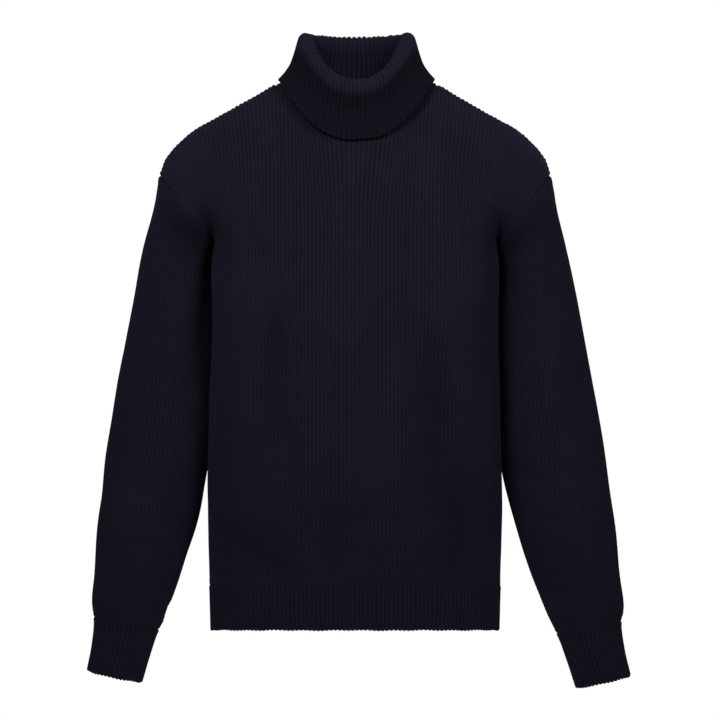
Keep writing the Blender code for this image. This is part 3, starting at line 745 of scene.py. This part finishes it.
def sleeve(sign, name):
    """One sleeve, from the armhole to the cuff."""
    places, _ = rib_places(SLEEVE_KNIT.ribs, True)
    steps = spaced(0.0, CUFF_TOP, ROW_STEP)
    middle, normals, angle, rings = arm_grid(places, SLEEVE_KNIT.ribs, steps, sign)
    along = np.broadcast_to(steps[:, None], middle.shape[:2])
    press = -waves(middle)
    for crease in ARM_CREASES:
        if crease.sign == sign:
            turn = np.degrees(angle) * DEGREE_AT_ARM
            press += crease.depth * along_line(turn, along,
                                               (crease.turn_start * DEGREE_AT_ARM, crease.along_start),
                                               (crease.turn_end * DEGREE_AT_ARM, crease.along_end),
                                               crease.width)
    edge = np.minimum(along, CUFF_TOP - along)
    press *= ease(edge / CALM_EDGE)
    middle = middle - normals * press[..., None]
    normals = grid_normals(middle, closed=True) * sign
    middle[0], normals[0] = armhole(angle, sign)
    normals[-1] = rings[-1][1]
    middle, normals, press = (facing_out(grid, sign) for grid in (middle, normals, press))
    middle = draw_back(middle, normals, ("bottom", "top"), closed=True)
    swell = seam_relief(along, SEWN) + seam_relief(CUFF_TOP - along, GATHERED)
    bold = ease((CUFF_TOP - along) / LINK_CALM)
    return shell(name, SLEEVE_KNIT, middle, normals, swell, (), closed=True, bold=bold, press=press)


def cuff(sign, name):
    """One cuff."""
    places, _ = rib_places(CUFF_KNIT.ribs, True)
    steps = spaced(CUFF_TOP, CUFF_END, BAND_STEP)
    middle, normals, _, rings = arm_grid(places, CUFF_KNIT.ribs, steps, sign)
    normals[0], normals[-1] = rings[0][1], rings[-1][1]
    middle, normals = (facing_out(grid, sign) for grid in (middle, normals))
    middle = draw_back(middle, normals, ("bottom",), closed=True)
    edge = row_lengths(middle)
    swell = seam_relief(edge, GATHERED)
    return shell(name, CUFF_KNIT, middle, normals, swell, ("top",), closed=True, bold=ease(edge / LINK_CALM))


def collar(name):
    """The roll collar, one tube folded outward once. Its outward side is the one that shows."""
    places, _ = rib_places(COLLAR_KNIT.ribs, True)
    turn = places / COLLAR_KNIT.ribs * 2 * math.pi
    angle = -(turn - COLLAR_CROWD * np.sin(turn))
    steps = spaced(0.0, COLLAR_END, COLLAR_STEP)
    middle = np.array([loop_points(angle, along) for along in steps])
    normals = grid_normals(middle, closed=True)
    normals[0] = -neck_normals(angle)
    middle = draw_back(middle, normals, ("bottom",), closed=True)
    near = ease((steps - CORNER_PRESS_START) / (COLLAR_END - CORNER_PRESS_START))
    swell = -CORNER_PRESS * near[:, None] * np.abs(np.sin(angle)) ** CORNER_PRESS_POWER
    return shell(name, COLLAR_KNIT, middle, normals, swell, ("top",), closed=True)


def draw_back(points, normals, edges, closed=False):
    """Move the edges of a grid half a seam gap into the piece, square to the seam."""
    if closed:
        across = np.roll(points, -1, axis=1) - np.roll(points, 1, axis=1)
    else:
        across = np.gradient(points, axis=1)
    up = np.cross(normals, across)
    right = np.cross(np.gradient(points, axis=0), normals)
    points = points.copy()
    half = SEAM_GAP / 2
    if "bottom" in edges:
        points[0] += unit(up[0]) * half
    if "top" in edges:
        points[-1] -= unit(up[-1]) * half
    if "sides" in edges:
        points[:, 0] += unit(right[:, 0]) * half
        points[:, -1] -= unit(right[:, -1]) * half
    return points


# ---- Yarn ------------------------------------------------------------------------------------

NAVY_DARK = (0.0042, 0.0040, 0.0086, 1.0)
NAVY_LIGHT = (0.0112, 0.0108, 0.0212, 1.0)
NAVY_SHEEN = (0.30, 0.34, 0.60, 1.0)
# Painted shade, for the collar's layer under the roll
NAVY_PAINTED_SHADE = (0.0020, 0.0016, 0.0036, 1.0)
PANEL_BUMP = 0.55           # how strongly the stitches show on panels and sleeves,
BAND_BUMP = 0.75            # and on the bands, cuffs and collar
BUMP_DEPTH = 0.0009         # of the stitches, the ply and the fuzz together
LEG_SLANT = 0.62            # how far a stitch's leg runs down from the crest, in stitches
LEG_ROUND = 0.55            # below 1, the legs are plump
SPLIT_WIDTH = 0.16          # of the groove down each crest, between the two legs,
SPLIT_DEPTH = 0.45          # as a share of the leg's height there
Noise = namedtuple("Noise", "scale detail share")
PLY = Noise(900.0, 2.0, 0.35)       # of the relief, with the fuzz
FUZZ = Noise(2600.0, 1.0, 0.20)
CLOUDS = Noise(38.0, 3.0, 0.55)     # of the tone, with the speckles
SPECKLE = Noise(1400.0, 2.0, 0.45)
SPECKLE_ROUGHNESS = 0.7
SPECKLE_RANGE = (0.30, 0.80)
LEG_PAINTED_LIGHT = (0.45, 0.35)     # painted light on the stitches: so much of a stitch's leg, on top of so much everywhere
VALLEY_SHARPNESS = 3.0      # how late the colour falls off towards a rib's valley, as painted shade
ROUGHNESS = (-0.08, 0.95)   # what the speckles take off, and what it is elsewhere
SPECULAR = 0.10
SHEEN = 0.06
SHEEN_ROUGHNESS = 0.45
FOLD_PAINTED_HIGHLIGHT = 0.42           # painted highlight: how much lighter the collar's fold is painted,
FOLD_START = 0.054          # from here on, measured up from the collar's seam,
FOLD_FULL = 0.062           # to here
SHADE = 0.70                # painted shade: how much darker the collar's turned-over layer is painted under the roll,
SHADE_START = 0.086         # from here on, measured likewise,
SHADE_FULL = 0.096          # to here


def nodes_of(material):
    """The material's node tree and its shader."""
    material.use_nodes = True
    tree = material.node_tree
    return tree, tree.nodes["Principled BSDF"]


def maths(tree, operation, first, second=None, third=None):
    """A Math node. Its inputs are sockets or numbers."""
    node = tree.nodes.new("ShaderNodeMath")
    node.operation = operation
    for socket, value in zip(node.inputs, (first, second, third)):
        if value is None:
            continue
        if isinstance(value, (int, float)):
            socket.default_value = value
        else:
            tree.links.new(value, socket)
    return node.outputs[0]


def smooth_step(tree, value, start, end):
    """From 0 at start to 1 at end, smoothly."""
    node = tree.nodes.new("ShaderNodeMapRange")
    node.interpolation_type = "SMOOTHSTEP"
    tree.links.new(value, node.inputs["Value"])
    node.inputs["From Min"].default_value = start
    node.inputs["From Max"].default_value = end
    return node.outputs["Result"]


def noise(tree, where, scale, detail, roughness=0.5):
    """A Noise node on some coordinates."""
    node = tree.nodes.new("ShaderNodeTexNoise")
    node.inputs["Scale"].default_value = scale
    node.inputs["Detail"].default_value = detail
    node.inputs["Roughness"].default_value = roughness
    tree.links.new(where, node.inputs["Vector"])
    return node.outputs["Fac"]


def mix(tree, factor, first, second):
    """A Mix node between two colours, each a socket or a colour."""
    node = tree.nodes.new("ShaderNodeMix")
    node.data_type = "RGBA"
    tree.links.new(factor, node.inputs["Factor"])
    for name, value in (("A", first), ("B", second)):
        if isinstance(value, tuple):
            node.inputs[name].default_value = value
        else:
            tree.links.new(value, node.inputs[name])
    return node.outputs["Result"]


def knit_material(name, bump, shaded=False):
    """Dark navy wool, knitted in ribs: a column of V-shaped stitches runs down each crest.

    bump is how strongly the stitches show.

    The colour has painted light and shade: darker in a trough and lighter on a ridge, lighter on
    each stitch's leg and darker towards each rib's valley. A shaded one has a painted highlight
    on the fold of the collar and painted shade past it, where the cloth lies under the roll.
    """
    material = bpy.data.materials.new(name)
    tree, shader = nodes_of(material)
    uv = tree.nodes.new("ShaderNodeUVMap")
    uv.uv_map = "Ribs"
    place = tree.nodes.new("ShaderNodeSeparateXYZ")
    tree.links.new(uv.outputs["UV"], place.inputs[0])
    rib, course = place.outputs["X"], place.outputs["Y"]
    where = tree.nodes.new("ShaderNodeTexCoord").outputs["Object"]

    sideways = maths(tree, "SUBTRACT", maths(tree, "FRACT", rib), 0.5)
    off_crest = maths(tree, "MULTIPLY", maths(tree, "ABSOLUTE", sideways), 2.0)
    leg_phase = maths(tree, "SUBTRACT", course, maths(tree, "MULTIPLY", off_crest, LEG_SLANT))
    leg = maths(tree, "ABSOLUTE", maths(tree, "SINE", maths(tree, "MULTIPLY", leg_phase, math.pi)))
    leg = maths(tree, "POWER", leg, LEG_ROUND)
    split = smooth_step(tree, off_crest, 0.0, SPLIT_WIDTH)
    deep = maths(tree, "MULTIPLY_ADD", split, SPLIT_DEPTH, 1.0 - SPLIT_DEPTH)
    relief = maths(tree, "MULTIPLY", leg, deep)
    for scale, detail, share in (PLY, FUZZ):
        relief = maths(tree, "MULTIPLY_ADD", noise(tree, where, scale, detail), share, relief)
    raised = tree.nodes.new("ShaderNodeBump")
    raised.inputs["Strength"].default_value = bump
    raised.inputs["Distance"].default_value = BUMP_DEPTH
    tree.links.new(relief, raised.inputs["Height"])
    tree.links.new(raised.outputs["Normal"], shader.inputs["Normal"])

    scale, detail, cloud_share = CLOUDS
    cloudy = noise(tree, where, scale, detail)
    scale, detail, speckle_share = SPECKLE
    speckle = smooth_step(tree, noise(tree, where, scale, detail, SPECKLE_ROUGHNESS), *SPECKLE_RANGE)
    # Painted light and shade on the knit's relief: lighter on each stitch's leg, darker towards each rib's
    # valley.
    open_rib = maths(tree, "SUBTRACT", 1.0, maths(tree, "POWER", off_crest, VALLEY_SHARPNESS))
    lit = maths(tree, "MULTIPLY", maths(tree, "MULTIPLY_ADD", leg, *LEG_PAINTED_LIGHT), open_rib)
    lit = maths(tree, "MULTIPLY_ADD", maths(tree, "SUBTRACT", cloudy, 0.5), cloud_share, lit)
    lit = maths(tree, "MULTIPLY_ADD", speckle, speckle_share, lit)
    # Painted shade in the troughs and painted light on the ridges, carried in from the shell.
    painted_crease_node = tree.nodes.new("ShaderNodeAttribute")
    painted_crease_node.attribute_name = "PaintedCreaseShading"
    lit = maths(tree, "ADD", lit, painted_crease_node.outputs["Fac"])
    # Painted highlight on the collar's fold and painted shade on the layer under its roll.
    if shaded:
        over = smooth_step(tree, course, FOLD_START / STITCH, FOLD_FULL / STITCH)
        under = smooth_step(tree, course, SHADE_START / STITCH, SHADE_FULL / STITCH)
        lit = maths(tree, "MULTIPLY_ADD", maths(tree, "SUBTRACT", over, under), FOLD_PAINTED_HIGHLIGHT, lit)
    colour = mix(tree, lit, NAVY_DARK, NAVY_LIGHT)
    if shaded:
        colour = mix(tree, maths(tree, "MULTIPLY", under, SHADE), colour, NAVY_PAINTED_SHADE)
    tree.links.new(colour, shader.inputs["Base Color"])
    tree.links.new(maths(tree, "MULTIPLY_ADD", speckle, *ROUGHNESS), shader.inputs["Roughness"])
    shader.inputs["Specular IOR Level"].default_value = SPECULAR
    shader.inputs["Sheen Weight"].default_value = SHEEN
    shader.inputs["Sheen Roughness"].default_value = SHEEN_ROUGHNESS
    shader.inputs["Sheen Tint"].default_value = NAVY_SHEEN
    return material


# ---- Building, and what each piece was cut to ------------------------------------------------

def build():
    """Make every piece, dress it, hang it on the root and hide its CAD part."""
    yarn = knit_material("navy_knit", PANEL_BUMP)
    heavy = knit_material("navy_band_knit", BAND_BUMP)
    turned = knit_material("navy_collar_knit_painted_shading", BAND_BUMP, shaded=True)
    # Each piece with its node, its material, and the size and area that it was cut to, laid flat.
    made = (
        (panel(FRONT, "front_panel"), "front", yarn, (0.50, 0.645), 0.290),
        (panel(BACK, "back_panel"), "back", yarn, (0.50, 0.660), 0.295),
        (hem(FRONT, "front_hem_band"), "hem_front", heavy, (0.470, 0.057), None),
        (hem(BACK, "back_hem_band"), "hem_back", heavy, (0.460, 0.057), None),
        (sleeve(-1, "right_sleeve"), "sleeve_r", yarn, (0.42, 0.560), 0.190),
        (sleeve(1, "left_sleeve"), "sleeve_l", yarn, (0.42, 0.560), 0.190),
        (cuff(-1, "right_cuff"), "cuff_r", heavy, (0.220, 0.069), None),
        (cuff(1, "left_cuff"), "cuff_l", heavy, (0.220, 0.069), None),
        (collar("roll_collar"), "collar", turned, (0.48, 0.170), None),
    )
    for piece, node, material, flat, area in made:
        piece.data.materials.append(material)
        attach(piece, "root")
        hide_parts(node)


# ---- Studio ----------------------------------------------------------------------------------

CAMERA_AT = (0.0063, -5.5, -0.334)
VIEW_WIDTH = 0.907          # what the frame takes in, at the sweater's middle
SENSOR = 36.0               # millimetres
FLOOR_Z = -1.30
FLOOR_HALF = 2.2
FLOOR_WHITE = 0.92
FLOOR_ROUGHNESS = 0.9
FLOOR_GLOW = 0.25

Lamp = namedtuple("Lamp", "name place aim_z size spread watts")
LAMPS = (
    Lamp("key", (-0.65, -1.85, 0.95), -0.10, 1.0, 60, 3.7),
    Lamp("fill", (1.00, -1.85, 0.85), -0.10, 1.0, 60, 2.8),
    Lamp("top", (0.0, 0.3, 1.9), -0.20, 1.4, 180, 1.2),
    Lamp("behind", (0.6, 3.0, 1.0), -0.25, 2.2, 100, 3.0),
)
COOL = (0.955, 1.0, 1.035)    # of the lamps
WARM = (1.0, 0.74, 0.86)    # of the light from all round
AMBIENT = 0.10              # light from all round, as a share of the white that the camera sees


def studio():
    """Camera, lights, white surroundings and a pale floor."""
    scene = bpy.context.scene
    lens = bpy.data.cameras.new("camera")
    lens.sensor_width = SENSOR
    lens.lens = SENSOR * abs(CAMERA_AT[1]) / VIEW_WIDTH
    camera = bpy.data.objects.new("camera", lens)
    camera.location = CAMERA_AT
    camera.rotation_euler = (math.pi / 2, 0.0, 0.0)
    scene.collection.objects.link(camera)
    scene.camera = camera

    for lamp in LAMPS:
        light = bpy.data.lights.new(lamp.name, "AREA")
        light.shape = "DISK"
        light.size = lamp.size
        light.energy = lamp.watts
        light.color = COOL
        light.spread = math.radians(lamp.spread)
        item = bpy.data.objects.new(lamp.name, light)
        item.location = lamp.place
        aim = Vector((0.0, 0.0, lamp.aim_z)) - Vector(lamp.place)
        item.rotation_euler = aim.to_track_quat("-Z", "Y").to_euler()
        scene.collection.objects.link(item)

    world = bpy.data.worlds.new("white")
    world.use_nodes = True
    scene.world = world
    tree = world.node_tree
    seen = tree.nodes.new("ShaderNodeLightPath").outputs["Is Camera Ray"]
    background = tree.nodes["Background"]
    tree.links.new(mix(tree, seen, (*WARM, 1.0), (1.0, 1.0, 1.0, 1.0)), background.inputs["Color"])
    tree.links.new(maths(tree, "MULTIPLY_ADD", seen, 1.0 - AMBIENT, AMBIENT),
                   background.inputs["Strength"])
    scene.view_settings.view_transform = "Standard"

    mesh = bpy.data.meshes.new("floor")
    corners = [(x * FLOOR_HALF, y * FLOOR_HALF, FLOOR_Z) for x, y in ((-1, -1), (1, -1), (1, 1), (-1, 1))]
    mesh.from_pydata(corners, [], [(0, 1, 2, 3)])
    pale = bpy.data.materials.new("pale_floor")
    _, shader = nodes_of(pale)
    shader.inputs["Base Color"].default_value = (FLOOR_WHITE, FLOOR_WHITE, FLOOR_WHITE, 1.0)
    shader.inputs["Roughness"].default_value = FLOOR_ROUGHNESS
    shader.inputs["Emission Color"].default_value = (1.0, 1.0, 1.0, 1.0)
    shader.inputs["Emission Strength"].default_value = FLOOR_GLOW
    mesh.materials.append(pale)
    floor = bpy.data.objects.new("floor", mesh)
    scene.collection.objects.link(floor)


build()
studio()
